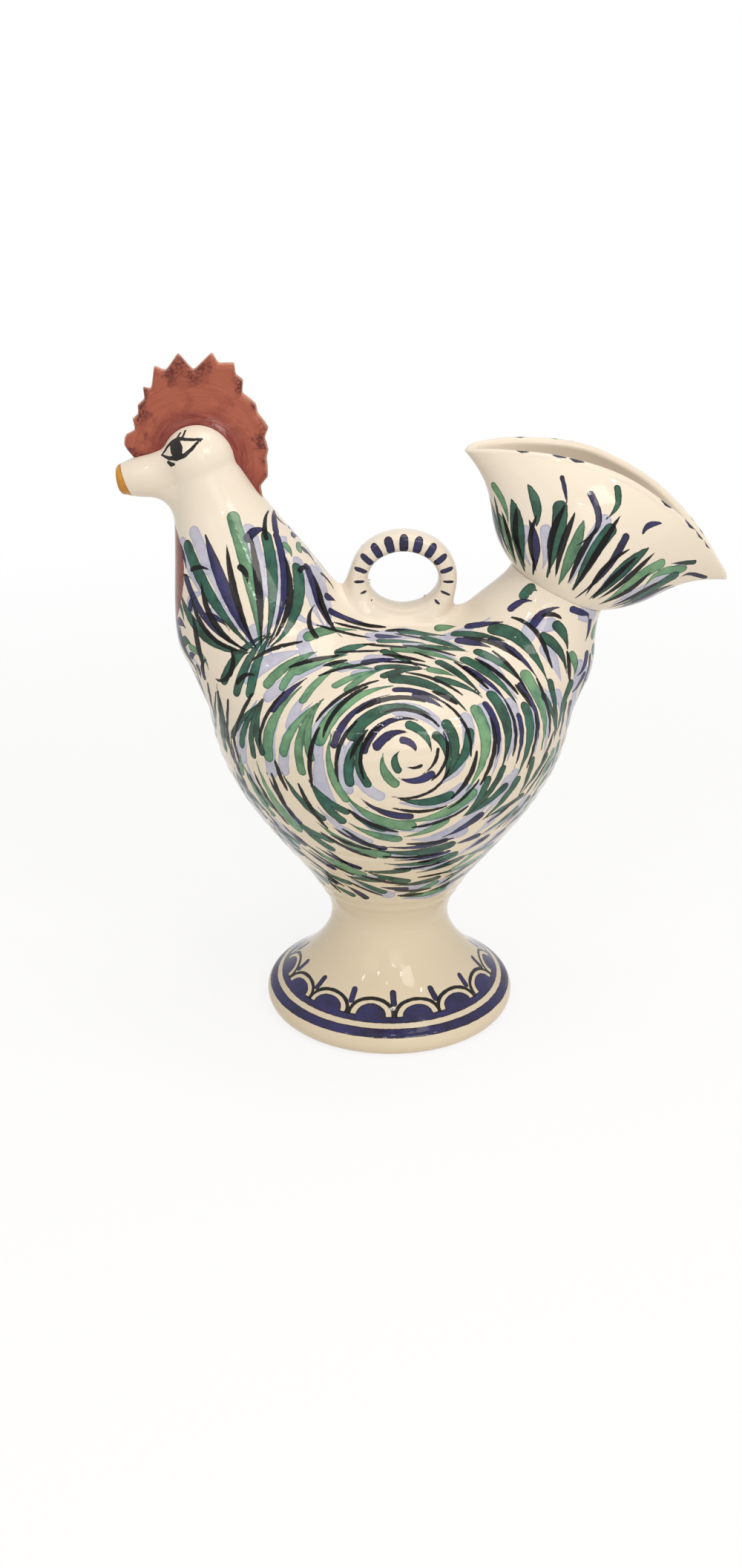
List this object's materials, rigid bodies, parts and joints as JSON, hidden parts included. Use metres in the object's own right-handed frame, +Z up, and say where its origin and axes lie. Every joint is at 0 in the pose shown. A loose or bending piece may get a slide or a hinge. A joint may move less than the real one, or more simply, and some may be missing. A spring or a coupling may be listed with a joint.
{
  "type": "rooster water jug",
  "caption": "Glazed earthenware water jug in the shape of a rooster, filled through the fan tail and poured from the beak, with a ring handle on its back.",
  "frame": {"origin": "centre of the ring on which the foot rests", "axes": "+Z up, -X towards the rooster's head, +X towards its tail, -Y towards the side that the picture shows"},
  "size_m": [0.2756, 0.169, 0.3175],
  "materials": {
    "tin_glaze": "gloss",
    "comb_glaze": "gloss"
  },
  "bodies": {
    "root": {"pedestal_foot": "tin_glaze", "body_bowl": "tin_glaze", "body_dome": "tin_glaze", "breast": "tin_glaze", "neck": "tin_glaze", "head": "tin_glaze", "beak_spout": "tin_glaze", "comb": "comb_glaze", "tail_stem": "tin_glaze", "tail_funnel": "tin_glaze", "ring_handle": "tin_glaze"}
  },
  "joints": []
}
